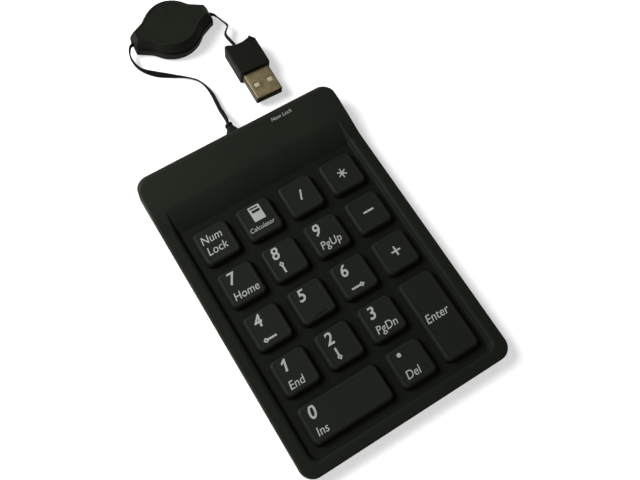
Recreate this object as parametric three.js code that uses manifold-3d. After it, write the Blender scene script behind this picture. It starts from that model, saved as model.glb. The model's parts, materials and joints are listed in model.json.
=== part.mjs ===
// A numeric keypad with a soft moulded skin, and its ribbon cable, cord reel and USB plug.
// Units are millimetres. The origin is the bottom centre of the keypad, +X to the right, +Y to the rear
// edge where the cable leaves, +Z up. The keypad, the reel and the plug all stand on z = 0.
import * as THREE from 'three';
import { mergeVertices } from 'three/addons/utils/BufferGeometryUtils.js';
import Module from 'manifold-3d';

const wasm = await Module();
wasm.setup();

// ---------------------------------------------------------------- driving dimensions
const GAP = 0.05; // between flat faces that lie on each other
const CLEAR = 0.3; // round a piece that sits in a hole

const KEYPAD = { width: 90, length: 129.5, corner: 5.5 };
const REAR = KEYPAD.length / 2;
const BASE_TOP = 1.2; // thickness of the hard base
const RIM_TOP = 6.7; // the border round the keys
const FLOOR_TOP = 5.0; // the recessed floor between the keys
const FLOOR_UNDER = 4.0;
const SIDE_WALL = 1.8;
const HEADER = { start: 39.2, crease: 48.45, creaseTop: 8.69, rise: 0.185, skin: 1.6, fillet: 2.6 };
const RECESS = { halfWidth: 39.5, front: -59.55, rampFoot: 38.3, corner: 3 };

const PITCH = 19;
const FIRST_COLUMN_X = -28.5;
const FIRST_ROW_Y = 27.55;
const KEY = { size: 14.5, top: 8.0, shoulder: 7.5, skirt: 5.3, bottom: 4.2, flare: 0.35, edge: 0.35, corner: 2.2 };
const KEY_CAVITY = { wall: 1.5, top: 6.8 };
const PLUNGER = { size: 5, bottom: 3.7, corner: 1 };
const KEY_OPENING = KEY.size + 2 * KEY.flare + 2 * CLEAR;

const MEMBRANE = { width: 82, front: -61, rear: 38, sheet: 0.2, first: 1.3, tailHalf: 9 };
const BOARD = { left: -26, right: 28, front: 47, rear: 60, bottom: 3.1, top: 4.3 };
const CLAMP = { x: 12, y: 49, halfLength: 15.5, halfWidth: 1.8, bottom: 4.65, top: 5.85 };

const NOSE = { x: 0.4, z: 5.4, tipX: 1.0, tipZ: 5.0, tipY: 70.4 };
const CORD = { width: 2.4, thickness: 0.7 };

const REEL = { x: 3.05, y: 121.95, tilt: -4.5, radius: 13, split: 5.4, top: 9.9, foot: 1.6 };
const EAR = { end: 17.9, half: 3.3, slope: 0.55 };
const REEL_SIDE = { widest: 4.1, lean: 2.0 }; // the upper case leans in from its widest line to its top
const REEL_CAVITY = { radius: 11.5, bottom: 1.2, shoulder: 6.6, upperRadius: 10.2, top: 9.0 };
const SPOOL = { flange: 11, hub: 4.8, bore: 2.35, bottom: 2.5, top: 6.4, flangeThickness: 0.5 };
const REEL_POST = 2.2;
const WINDING = { inner: 5.0, outer: 9.7 };
const CORD_IN_REEL_Z = 4.45;
const EAR_BEND = 15.6; // where the cord's way through an ear turns towards the winding's rim
const LEAD_RADIUS = WINDING.outer + 0.95; // the cord's first turn round the winding
const LEAD_ANGLE = Math.acos(LEAD_RADIUS / EAR_BEND);

const PLUG = { x: 23.35, y: 86.0, turn: 2.2, halfWidth: 6.9, length: 15.5, height: 8 };
const SHELL = { width: 12, height: 4.5, wall: 0.32, front: -12.2, back: 3.2, windowX: 3.05, windowY: -6.2 };
const PLUG_Z = PLUG.height / 2;

// ---------------------------------------------------------------- colours
const paint = (color, roughness, metalness = 0) =>
  new THREE.MeshStandardMaterial({ color, roughness, metalness });
const COLOURS = {
  silicone: [0x232622, 0.62],
  keySilicone: [0x2a2d29, 0.6],
  basePlastic: [0x1c1e1c, 0.55],
  film: [0x8d9a94, 0.3],
  spacerFilm: [0xc9d0cc, 0.35],
  board: [0x1f5a34, 0.5],
  resin: [0x0c0c0d, 0.35],
  steel: [0xa8a9aa, 0.35, 1],
  whitePlastic: [0xe6e5df, 0.45],
  cordPlastic: [0x1a1b1a, 0.5],
  reelPlastic: [0x212420, 0.5],
  nickel: [0xb3a68e, 0.35, 1],
  gold: [0xc9a24a, 0.3, 1],
};

const part = new THREE.Group();
part.name = 'numeric_keypad';

function add(name, geometry, colour, parent = part) {
  const mesh = new THREE.Mesh(geometry, paint(...COLOURS[colour]));
  mesh.name = name;
  parent.add(mesh);
  return mesh;
}

// ---------------------------------------------------------------- shapes and solids
// An outline with rounded corners, centred on (x, y).
function roundedRect(width, length, radius, x = 0, y = 0) {
  const [w, l] = [width / 2, length / 2];
  const shape = new THREE.Shape();
  shape.moveTo(x + w - radius, y - l);
  shape.absarc(x + w - radius, y - l + radius, radius, -Math.PI / 2, 0);
  shape.absarc(x + w - radius, y + l - radius, radius, 0, Math.PI / 2);
  shape.absarc(x - w + radius, y + l - radius, radius, Math.PI / 2, Math.PI);
  shape.absarc(x - w + radius, y - l + radius, radius, Math.PI, Math.PI * 1.5);
  return shape;
}

function circle(radius, x = 0, y = 0) {
  const shape = new THREE.Shape();
  shape.absarc(x, y, radius, 0, Math.PI * 2);
  return shape;
}

function polygon(points) {
  return new THREE.Shape(points.map(([x, y]) => new THREE.Vector2(x, y)));
}

// An outline raised from one height to another. Its top and bottom edges can be bevelled: bevel is how
// high the bevel reaches, lean how far it goes in, and steps makes it round.
function prism(shape, bottom, top, segments = 1, bevel = 0, lean = bevel, steps = 1) {
  const geometry = new THREE.ExtrudeGeometry(shape, {
    depth: top - bottom - 2 * bevel,
    curveSegments: segments,
    bevelEnabled: bevel > 0,
    bevelThickness: bevel,
    bevelSize: lean,
    bevelOffset: -lean,
    bevelSegments: steps,
  });
  return geometry.translate(0, 0, bottom + bevel);
}

// A side view in (y, z), drawn out along x over a given half width.
function sideProfile(points, halfWidth) {
  const geometry = prism(polygon(points), -halfWidth, halfWidth);
  const along = new THREE.Matrix4().makeBasis(
    new THREE.Vector3(0, 1, 0), new THREE.Vector3(0, 0, 1), new THREE.Vector3(1, 0, 0));
  return geometry.applyMatrix4(along);
}

// A flat end view in (x, z), drawn out along y between two stations.
function endProfile(shape, from, to, segments = 1) {
  const along = new THREE.Matrix4().makeBasis(
    new THREE.Vector3(1, 0, 0), new THREE.Vector3(0, 0, 1), new THREE.Vector3(0, -1, 0));
  return prism(shape, -to, -from, segments).applyMatrix4(along);
}

// A body turned round the z axis from a closed outline in (radius, z), anticlockwise.
function turned(points, sides) {
  const outline = points.map(([r, z]) => new THREE.Vector2(r, z));
  const geometry = new THREE.LatheGeometry(outline, sides);
  return geometry.rotateX(Math.PI / 2);
}

function cylinder(radius, bottom, top, x = 0, y = 0, sides = 12) {
  return new THREE.CylinderGeometry(radius, radius, top - bottom, sides)
    .rotateX(Math.PI / 2).translate(x, y, (top + bottom) / 2);
}

function block(x0, x1, y0, y1, z0, z1) {
  return new THREE.BoxGeometry(x1 - x0, y1 - y0, z1 - z0)
    .translate((x0 + x1) / 2, (y0 + y1) / 2, (z0 + z1) / 2);
}

// A skin through rings that all have the same number of points, closed at both ends.
function loft(rings) {
  const count = rings[0].length;
  const positions = rings.flat().flatMap((p) => [p.x, p.y, p.z]);
  const index = [];
  for (let r = 0; r + 1 < rings.length; r += 1) {
    for (let i = 0; i < count; i += 1) {
      const [a, b] = [r * count + i, r * count + ((i + 1) % count)];
      index.push(a, b, b + count, a, b + count, a + count);
    }
  }
  const last = (rings.length - 1) * count;
  for (let i = 1; i + 1 < count; i += 1) {
    index.push(0, i + 1, i);
    index.push(last, last + i, last + i + 1);
  }
  const geometry = new THREE.BufferGeometry();
  geometry.setAttribute('position', new THREE.Float32BufferAttribute(positions, 3));
  geometry.setIndex(index);
  geometry.computeVertexNormals();
  return geometry;
}

// A rounded rectangle of points at one height, for loft().
function ring(width, length, radius, z) {
  const outline = roundedRect(width, length, radius).getPoints(1);
  const corners = outline.slice(0, outline.length - 1).filter((p, i, all) =>
    i === 0 || p.distanceTo(all[i - 1]) > 1e-6);
  return corners.map((p) => new THREE.Vector3(p.x, p.y, z));
}

function solid(geometry) {
  const bare = geometry.clone();
  bare.deleteAttribute('normal');
  bare.deleteAttribute('uv');
  const merged = mergeVertices(bare, 1e-5);
  return new wasm.Manifold(new wasm.Mesh({
    numProp: 3,
    vertProperties: new Float32Array(merged.attributes.position.array),
    triVerts: new Uint32Array(merged.index.array),
  }));
}

function geometryOf(manifold) {
  const mesh = manifold.getMesh();
  const geometry = new THREE.BufferGeometry();
  geometry.setAttribute('position', new THREE.Float32BufferAttribute(mesh.vertProperties, 3));
  geometry.setIndex(Array.from(mesh.triVerts));
  geometry.computeVertexNormals();
  return geometry;
}

const joined = (...geometries) => geometries.map(solid).reduce((whole, next) => whole.add(next));

// ---------------------------------------------------------------- the keys
const KEY_ROWS = [
  ['num_lock', 'calculator', 'divide', 'multiply'],
  ['7', '8', '9', 'minus'],
  ['4', '5', '6', 'plus'],
  ['1', '2', '3', 'enter'],
  ['0', null, 'decimal', null],
];
// How many columns and rows the two long keys cover.
const SPANS = { enter: [1, 2], 0: [2, 1] };

function keyPlaces() {
  const places = [];
  KEY_ROWS.forEach((names, row) => names.forEach((name, column) => {
    if (!name) return;
    const [across, down] = SPANS[name] ?? [1, 1];
    places.push({
      name: `key_${name}`,
      x: FIRST_COLUMN_X + PITCH * (column + (across - 1) / 2),
      y: FIRST_ROW_Y - PITCH * (row + (down - 1) / 2),
      width: KEY.size + PITCH * (across - 1),
      length: KEY.size + PITCH * (down - 1),
    });
  }));
  return places;
}

// A soft key: a hollow cap whose middle post presses the membrane.
function keyGeometry(width, length) {
  const outer = (grow, z) => ring(width + 2 * grow, length + 2 * grow, KEY.corner + grow, z);
  const inner = (z) => ring(
    width - 2 * KEY_CAVITY.wall, length - 2 * KEY_CAVITY.wall, KEY.corner - 1, z);
  const post = (z) => ring(PLUNGER.size, PLUNGER.size, PLUNGER.corner, z);
  return loft([
    post(PLUNGER.bottom),
    post(KEY_CAVITY.top),
    inner(KEY_CAVITY.top),
    inner(KEY.bottom),
    outer(KEY.flare, KEY.bottom),
    outer(KEY.flare, KEY.skirt),
    outer(0, KEY.shoulder),
    outer(-KEY.edge, KEY.top),
  ]);
}

const keys = keyPlaces();
keys.forEach(({ name, x, y, width, length }) => {
  add(name, keyGeometry(width, length), 'keySilicone').position.set(x, y, 0);
});

// ---------------------------------------------------------------- the skin and the base
const headerTop = (y) => HEADER.creaseTop + HEADER.rise * (y - HEADER.crease);

// The side view of the skin's upper surface, with its rounded rear edge.
function skinSide() {
  const filletStart = REAR - HEADER.fillet;
  const centre = headerTop(filletStart) - HEADER.fillet;
  const points = [
    [-REAR, BASE_TOP + GAP], [REAR, BASE_TOP + GAP],
  ];
  for (let step = 0; step <= 4; step += 1) {
    const angle = (step / 4) * (Math.PI / 2);
    points.push([filletStart + HEADER.fillet * Math.cos(angle), centre + HEADER.fillet * Math.sin(angle)]);
  }
  points.push([HEADER.crease, HEADER.creaseTop], [HEADER.start, RIM_TOP], [-REAR, RIM_TOP]);
  return points;
}

function topCover() {
  const wall = SIDE_WALL;
  const high = 20;
  const inside = REAR - wall;
  const outer = solid(sideProfile(skinSide(), KEYPAD.width / 2))
    .intersect(solid(prism(roundedRect(KEYPAD.width, KEYPAD.length, KEYPAD.corner), 0, high, 3)));
  const recessLength = HEADER.crease - RECESS.front;
  const recess = solid(sideProfile([
    [RECESS.front, FLOOR_TOP], [RECESS.rampFoot, FLOOR_TOP], [HEADER.crease, HEADER.creaseTop],
    [HEADER.crease, high], [RECESS.front, high],
  ], RECESS.halfWidth)).intersect(solid(prism(
    roundedRect(2 * RECESS.halfWidth, recessLength + 10, RECESS.corner, 0,
      RECESS.front + (recessLength + 10) / 2), 0, high)));
  const cavity = solid(sideProfile([
    [-inside, 0], [inside, 0], [inside, headerTop(inside) - HEADER.skin - 0.6],
    [inside - 2, headerTop(inside - 2) - HEADER.skin], [HEADER.crease, HEADER.creaseTop - HEADER.skin],
    [RECESS.rampFoot + 0.7, FLOOR_UNDER], [-inside, FLOOR_UNDER],
  ], KEYPAD.width / 2)).intersect(solid(prism(
    roundedRect(KEYPAD.width - 2 * wall, KEYPAD.length - 2 * wall, KEYPAD.corner - wall), -1, high)));
  let cover = outer.subtract(recess).subtract(cavity);
  keys.forEach(({ x, y, width, length }) => {
    const spare = KEY_OPENING - KEY.size;
    const opening = roundedRect(width + spare, length + spare, KEY.corner + KEY.flare + CLEAR, x, y);
    cover = cover.subtract(solid(prism(opening, 1, FLOOR_TOP + 1)));
  });
  const cableHole = roundedRect(2 * NECK.halfWidth + 2 * CLEAR, 2 * NECK.halfHeight + 2 * CLEAR, 1.6,
    NOSE.x, NOSE.z);
  return geometryOf(cover.subtract(solid(endProfile(cableHole, inside - 1, REAR + 1))));
}

function baseCover() {
  const lipOuter = SIDE_WALL + CLEAR;
  const lipInner = lipOuter + 1.2;
  const lip = (inset, bottom, top) => solid(prism(roundedRect(
    KEYPAD.width - 2 * inset, KEYPAD.length - 2 * inset, KEYPAD.corner - 2), bottom, top));
  const plate = solid(prism(
    roundedRect(KEYPAD.width - 0.4, KEYPAD.length, KEYPAD.corner - 0.2), 0, BASE_TOP, 3, 0.35));
  let base = plate.add(lip(lipOuter, 0.6, 2.5).subtract(lip(lipInner, BASE_TOP, 3)));
  [-1, 1].forEach((side) => {
    const boss = cylinder(2.4, 0.6, BOARD.bottom - GAP, side * CLAMP.x, CLAMP.y);
    const post = cylinder(1.6, 0.6, BOARD.bottom - GAP, side * 22, 57.5);
    const hole = cylinder(0.9 + CLEAR, 0.9, 4, side * CLAMP.x, CLAMP.y);
    base = base.add(solid(boss)).add(solid(post)).subtract(solid(hole));
  });
  return geometryOf(base);
}

// ---------------------------------------------------------------- the cable's nose at the rear edge
const NECK = { halfWidth: 3.2, halfHeight: 2.0 };

// A rounded section that faces along y, for the nose.
function station(y, x, z, halfWidth, halfHeight) {
  return ring(2 * halfWidth, 2 * halfHeight, Math.min(halfWidth, halfHeight) * 0.75, 0)
    .map((p) => new THREE.Vector3(x - p.x, y, z + p.y));
}

function strainRelief() {
  const inside = REAR - SIDE_WALL;
  return loft([
    station(inside - 2.1, NOSE.x, NOSE.z, 4.6, 2.6),
    station(inside - 0.1, NOSE.x, NOSE.z, 4.6, 2.6),
    station(inside - 0.09, NOSE.x, NOSE.z, NECK.halfWidth, NECK.halfHeight),
    station(REAR + 0.1, NOSE.x, NOSE.z, NECK.halfWidth, NECK.halfHeight),
    station(REAR + 0.11, NOSE.x, NOSE.z, 4.1, 2.7),
    station(REAR + 2.2, NOSE.x + 0.2, NOSE.z, 2.6, 2.3),
    station(NOSE.tipY - 1.3, NOSE.tipX, NOSE.tipZ, 1.3, 1.75),
    station(NOSE.tipY - 1.2, NOSE.tipX, NOSE.tipZ, 1.55, 1.95),
    station(NOSE.tipY - 0.3, NOSE.tipX, NOSE.tipZ, 1.5, 1.9),
  ]);
}

add('top_cover', topCover(), 'silicone');
add('base_cover', baseCover(), 'basePlastic');
add('strain_relief', strainRelief(), 'silicone');

// ---------------------------------------------------------------- the membrane under the keys
const sheetPlace = (layer) => MEMBRANE.first + layer * (MEMBRANE.sheet + GAP);

function membraneSheet(layer) {
  const bottom = sheetPlace(layer);
  const length = MEMBRANE.rear - MEMBRANE.front;
  const outline = roundedRect(MEMBRANE.width, length, 2, 0, (MEMBRANE.front + MEMBRANE.rear) / 2);
  return prism(outline, bottom, bottom + MEMBRANE.sheet);
}

// The tail climbs from the sheet to the top of the board, under the clamp bar.
function membraneTail() {
  const low = sheetPlace(2);
  const high = BOARD.top + GAP;
  const edge = [[MEMBRANE.rear - 2, low], [41, low], [46, high], [CLAMP.y + CLAMP.halfWidth, high]];
  const back = edge.map(([y, z]) => [y, z + MEMBRANE.sheet]).reverse();
  return sideProfile([...edge, ...back], MEMBRANE.tailHalf);
}

function membraneSpacer() {
  let spacer = solid(membraneSheet(1));
  keys.forEach(({ x, y }) => {
    spacer = spacer.subtract(solid(cylinder(2.5, 0, 4, x, y, 8)));
  });
  return geometryOf(spacer);
}

add('membrane_lower_sheet', membraneSheet(0), 'film');
add('membrane_spacer', membraneSpacer(), 'spacerFilm');
add('membrane_upper_sheet', geometryOf(joined(membraneSheet(2), membraneTail())), 'film');

// ---------------------------------------------------------------- the controller in the header
const onBoard = BOARD.top + GAP;

function controllerBoard() {
  let board = solid(block(BOARD.left, BOARD.right, BOARD.front, BOARD.rear, BOARD.bottom, BOARD.top));
  [-1, 1].forEach((side) => {
    board = board.subtract(solid(cylinder(0.9 + CLEAR, 0, 10, side * CLAMP.x, CLAMP.y)));
  });
  return geometryOf(board);
}

function clampBar() {
  const outline = roundedRect(2 * CLAMP.halfLength, 2 * CLAMP.halfWidth, 1, 0, CLAMP.y);
  [-1, 1].forEach((side) => outline.holes.push(circle(0.9 + CLEAR, side * CLAMP.x, CLAMP.y)));
  return prism(outline, CLAMP.bottom, CLAMP.top, 5);
}

// A pan-head screw with its length along z.
function screw(headRadius, headTop, headBottom, shankRadius, shankBottom) {
  return turned([
    [0, shankBottom], [shankRadius * 0.6, shankBottom], [shankRadius, shankBottom + 0.4],
    [shankRadius, headBottom], [headRadius, headBottom], [headRadius, headTop - 0.35],
    [headRadius - 0.35, headTop], [0, headTop],
  ], 12);
}

add('controller_board', controllerBoard(), 'board');
add('tail_clamp_bar', clampBar(), 'steel');
['left', 'right'].forEach((side, i) => {
  const name = `clamp_screw_${side}`;
  add(name, screw(1.7, CLAMP.top + 1.0, CLAMP.top + GAP, 0.9, 1.5), 'steel')
    .position.set((2 * i - 1) * CLAMP.x, CLAMP.y, 0);
});
add('controller_chip', turned([[0, 0], [4.2, 0], [3.7, 0.9], [2.2, 1.5], [0, 1.7]], 16), 'resin')
  .position.set(-10, 55.5, onBoard);
add('crystal', prism(roundedRect(10, 3.6, 1.7), 0, 3.2, 2), 'steel').position.set(14, 54.5, onBoard);
add('capacitor', turned([[0, 0], [2, 0], [2, 3.1], [1.7, 3.4], [0, 3.4]], 12), 'resin')
  .position.set(-20, 54.5, onBoard);
add('num_lock_led', turned([[0, 0], [1.5, 0], [1.5, 2.2], [1.1, 3.1], [0, 3.5]], 12), 'whitePlastic')
  .position.set(20.8, 57.5, onBoard);

const SOCKET = { y: 54.2, halfWidth: 4.2, halfLength: 1.5, height: 2.9 };
add('cable_socket', block(NOSE.x - SOCKET.halfWidth, NOSE.x + SOCKET.halfWidth,
  SOCKET.y - SOCKET.halfLength, SOCKET.y + SOCKET.halfLength, onBoard, onBoard + SOCKET.height),
'whitePlastic');

// Four wires bridge the socket and the cable's inner end.
const WIRES = { red: 0xb32318, white: 0xdcdcd6, green: 0x2c7a3c, black: 0x1a1a1a };
Object.entries(WIRES).forEach(([colour, hex], i) => {
  const spread = i - 1.5;
  const from = SOCKET.y + SOCKET.halfLength + 0.1;
  const to = REAR - SIDE_WALL - 2.2;
  const path = new THREE.CatmullRomCurve3([
    new THREE.Vector3(NOSE.x + spread * 1.9, from, 5.9),
    new THREE.Vector3(NOSE.x + spread * 1.8, from + 1.6, 6.2),
    new THREE.Vector3(NOSE.x + spread * 1.5, to - 1.5, 5.8),
    new THREE.Vector3(NOSE.x + spread * 1.4, to, NOSE.z),
  ]);
  const wire = add(`wire_${colour}`, new THREE.ExtrudeGeometry(circle(0.42), {
    steps: 5, curveSegments: 3, extrudePath: path, bevelEnabled: false,
  }), 'whitePlastic');
  wire.material = paint(hex, 0.5);
});

// ---------------------------------------------------------------- the cord reel
const reel = new THREE.Group();
reel.position.set(REEL.x, REEL.y, 0);
reel.rotation.z = THREE.MathUtils.degToRad(REEL.tilt);
part.add(reel);

// A round body with two ears, whose straight sides taper to blunt ends.
function reelOutline() {
  const reach = (EAR.half + EAR.slope * EAR.end) / Math.hypot(1, EAR.slope);
  const touch = Math.atan2(1, EAR.slope) - Math.acos(reach / REEL.radius);
  const shape = new THREE.Shape();
  shape.moveTo(EAR.end, -EAR.half);
  shape.lineTo(EAR.end, EAR.half);
  shape.absarc(0, 0, REEL.radius, touch, Math.PI - touch);
  shape.lineTo(-EAR.end, EAR.half);
  shape.lineTo(-EAR.end, -EAR.half);
  shape.absarc(0, 0, REEL.radius, Math.PI + touch, 2 * Math.PI - touch);
  return shape;
}

// The way of the cord through each ear: straight in, then slanting to the winding's rim.
function cordChannels() {
  const [bottom, top, half] = [CORD_IN_REEL_Z - 1.5, CORD_IN_REEL_Z + 1.5, 1.2];
  const straight = block(EAR_BEND - 1, EAR.end + 1, -half, half, bottom, top);
  const slanting = block(-1, 12, -half, half, bottom, top)
    .rotateZ(Math.PI / 2 + LEAD_ANGLE).translate(EAR_BEND, 0, 0);
  const right = joined(straight, slanting);
  const left = right.rotate([0, 0, 180]);
  return right.add(left);
}

const slab = (bottom, top) => solid(block(-20, 20, -20, 20, bottom, top));

function reelLowerCase() {
  const { radius, bottom } = REEL_CAVITY;
  const high = REEL.split + REEL.foot;
  const shell = solid(prism(reelOutline(), 0, high + 1, 5, REEL.foot, REEL.foot, 2))
    .subtract(slab(REEL.split, high + 2))
    .subtract(solid(cylinder(radius, bottom, 10, 0, 0, 24)))
    .add(solid(cylinder(REEL_POST, bottom - 0.3, REEL.split - CLEAR, 0, 0, 10)))
    .subtract(solid(cylinder(2.0, -1, 0.7, 0, 0, 10)))
    .subtract(solid(cylinder(1.0, 0, 10, 0, 0, 10)));
  return geometryOf(shell.subtract(cordChannels()));
}

function reelUpperCase() {
  const { radius, shoulder, upperRadius, top } = REEL_CAVITY;
  const bevel = REEL.top - REEL_SIDE.widest;
  const split = REEL.split + 0.1;
  const below = REEL_SIDE.widest - bevel - 1;
  const shell = solid(prism(reelOutline(), below, REEL.top, 5, bevel, REEL_SIDE.lean))
    .subtract(slab(below - 1, split))
    .subtract(solid(cylinder(radius, 0, shoulder, 0, 0, 24)))
    .subtract(solid(cylinder(upperRadius, 0, top, 0, 0, 24)))
    .add(solid(cylinder(REEL_POST, split + CLEAR, top + 0.3, 0, 0, 10)))
    .subtract(solid(cylinder(1.0, 0, 8.6, 0, 0, 10)));
  return geometryOf(shell.subtract(cordChannels()));
}

function spool() {
  const { flange, hub, bore, bottom, top, flangeThickness: t } = SPOOL;
  return turned([
    [bore, bottom], [flange, bottom], [flange, bottom + t], [hub, bottom + t],
    [hub, top - t], [flange, top - t], [flange, top], [bore, top], [bore, bottom],
  ], 24);
}

// The cord wound on the spool, as one ring between the flanges.
function winding() {
  const spare = SPOOL.flangeThickness + 0.2;
  const [low, high] = [SPOOL.bottom + spare, SPOOL.top - spare];
  const { inner, outer } = WINDING;
  return turned([[inner, low], [outer, low], [outer, high], [inner, high], [inner, low]], 24);
}

// A flat strip wound as a spiral round the post.
function powerSpring() {
  const [turns, perTurn, first, last, half] = [3, 14, 2.9, 8.6, 0.14];
  const edge = (offset) => Array.from({ length: turns * perTurn + 1 }, (_, i) => {
    const angle = (i / perTurn) * 2 * Math.PI;
    const radius = first + ((last - first) * i) / (turns * perTurn) + offset;
    return [radius * Math.cos(angle), radius * Math.sin(angle)];
  });
  return prism(polygon([...edge(half), ...edge(-half).reverse()]), 1.4, 2.3);
}

add('reel_lower_case', reelLowerCase(), 'reelPlastic', reel);
add('reel_upper_case', reelUpperCase(), 'reelPlastic', reel);
add('reel_spool', spool(), 'whitePlastic', reel);
add('wound_cord', winding(), 'cordPlastic', reel);
add('reel_spring', powerSpring(), 'steel', reel);
add('reel_screw', screw(1.65, -0.1, -0.55, 0.7, -8.0), 'steel', reel).rotation.x = Math.PI;
add('ratchet_ball', new THREE.SphereGeometry(0.65, 8, 6), 'steel', reel).position.set(7.4, 0, 7.4);

// ---------------------------------------------------------------- the ribbon cord
// A flat section standing on its edge, along a smooth route.
function ribbon(points, steps) {
  const path = new THREE.CatmullRomCurve3(points.map(([x, y, z]) => new THREE.Vector3(x, y, z)),
    false, 'centripetal');
  const section = new THREE.Shape();
  section.absellipse(0, 0, CORD.width / 2, CORD.thickness / 2, 0, Math.PI * 2);
  return new THREE.ExtrudeGeometry(section, {
    steps, curveSegments: 4, extrudePath: path, bevelEnabled: false,
  });
}

// A point given in the reel's own turned frame.
function fromReel(x, y, z) {
  const p = new THREE.Vector3(x, y, z).applyAxisAngle(
    new THREE.Vector3(0, 0, 1), reel.rotation.z).add(reel.position);
  return [p.x, p.y, p.z];
}

// The part of the route inside the case, from the winding's rim to just inside an ear's mouth.
function inEar(side) {
  const onRim = [50, 25, 0].map((degrees) => {
    const angle = LEAD_ANGLE + THREE.MathUtils.degToRad(degrees);
    return [LEAD_RADIUS * Math.cos(angle), LEAD_RADIUS * Math.sin(angle)];
  });
  const [touchX, touchY] = onRim[2];
  const halfWay = [(touchX + EAR_BEND) / 2, touchY / 2];
  return [...onRim, halfWay, [EAR_BEND, 0.25]].map(([x, y]) =>
    fromReel(side * x, side * y, CORD_IN_REEL_Z));
}

const KEYPAD_CORD_ROUTE = [
  [1.0, 70.4, 5.0], [1.6, 72.2, 4.5], [2.1, 75.3, 3.1], [2.5, 79.5, 1.8], [2.9, 83.4, 1.3],
  [3.2, 87.6, 1.3], [2.7, 92.2, 1.3], [1.2, 96.3, 1.3], [-2.3, 100.0, 1.3], [-7.2, 103.6, 1.3],
  [-12.0, 107.4, 1.3], [-16.2, 111.6, 1.4], [-18.1, 116.0, 2.2], [-18.2, 119.4, 3.2],
  [-17.2, 121.8, 4.0], [-16.1, 123.0, 4.4], fromReel(-EAR.end, 0, CORD_IN_REEL_Z),
];
const PLUG_CORD_ROUTE = [
  fromReel(EAR.end, 0, CORD_IN_REEL_Z), [22.2, 119.6, 4.4], [23.1, 117.6, 4.3], [23.8, 115.4, 4.2],
  [24.5, 113.6, 4.1], [24.7, 112.2, 4.0], [23.9, 111.1, 4.0], [22.7, 110.1, 4.0],
  [21.9, 108.9, 4.0], [21.7, 107.6, 4.0], [21.9, 106.2, 4.0], [22.1, 104.6, 4.0],
  [22.4, 102.9, 4.0], [22.6, 101.2, 4.0],
];
add('keypad_cord', ribbon([...KEYPAD_CORD_ROUTE, ...inEar(-1).reverse()], 38), 'cordPlastic');
add('plug_cord', ribbon([...inEar(1), ...PLUG_CORD_ROUTE], 26), 'cordPlastic');

// ---------------------------------------------------------------- the plug
// The plug's own frame: y = 0 is the front of its body, and its shell points along -y.
const plug = new THREE.Group();
plug.position.set(PLUG.x, PLUG.y, 0);
plug.rotation.z = THREE.MathUtils.degToRad(-PLUG.turn);
part.add(plug);

// A block with chamfered front corners and a hollow scooped in its back, where the cord enters.
function plugBody() {
  const [w, l] = [PLUG.halfWidth, PLUG.length];
  const outline = new THREE.Shape();
  outline.moveTo(-w + 0.7, 0);
  outline.lineTo(w - 0.7, 0);
  outline.lineTo(w, 0.7);
  outline.lineTo(w, l - 2.2);
  outline.lineTo(w - 1.5, l);
  outline.lineTo(w - 2.3, l);
  outline.quadraticCurveTo(0.6, l - 1.4, -1.8, l - 1.3);
  outline.quadraticCurveTo(-3.4, l - 1.2, -4.6, l - 0.4);
  outline.lineTo(-w + 0.5, l - 0.2);
  outline.lineTo(-w, l - 0.8);
  outline.lineTo(-w, 0.7);
  const pocket = roundedRect(SHELL.width + 0.3, SHELL.height + 0.3, 0.5, 0, PLUG_Z);
  return geometryOf(solid(prism(outline, 0, PLUG.height, 4, 0.6))
    .subtract(solid(endProfile(pocket, -1, SHELL.back + 0.2))));
}

function plugShell() {
  const { width, height, wall, front, back } = SHELL;
  const outer = roundedRect(width, height, 0.6, 0, PLUG_Z);
  outer.holes.push(roundedRect(width - 2 * wall, height - 2 * wall, 0.3, 0, PLUG_Z));
  let shell = solid(endProfile(outer, front, back));
  [-1, 1].forEach((side) => {
    const [x, y] = [side * SHELL.windowX, SHELL.windowY];
    shell = shell.subtract(solid(block(x - 1.2, x + 1.2, y - 1.1, y + 1.1, 0, 10)));
  });
  return geometryOf(shell);
}

// The white tongue lies against the upper wall, on the block that fills the shell's root.
function plugTongue() {
  const inside = SHELL.width / 2 - SHELL.wall - 0.1;
  const top = PLUG_Z + SHELL.height / 2 - SHELL.wall - 0.1;
  const low = PLUG_Z - SHELL.height / 2 + SHELL.wall + 0.1;
  return geometryOf(joined(
    block(-inside, inside, SHELL.front + 0.8, SHELL.back - 0.1, top - 1.8, top),
    block(-inside, inside, -1.0, SHELL.back - 0.1, low, top)));
}

add('plug_body', plugBody(), 'cordPlastic', plug);
add('plug_shell', plugShell(), 'nickel', plug);
add('plug_tongue', plugTongue(), 'whitePlastic', plug);
[-3.5, -1.0, 1.0, 3.5].forEach((x, i) => {
  const under = PLUG_Z + SHELL.height / 2 - SHELL.wall - 0.1 - 1.8 - GAP;
  const contact = block(x - 0.5, x + 0.5, SHELL.front + 1.4, -1.1, under - 0.25, under);
  add(`plug_contact_${i + 1}`, contact, 'gold', plug);
});

export default part;
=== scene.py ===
import json
import math

import bmesh
import bpy
from mathutils import Matrix, Vector


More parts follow.
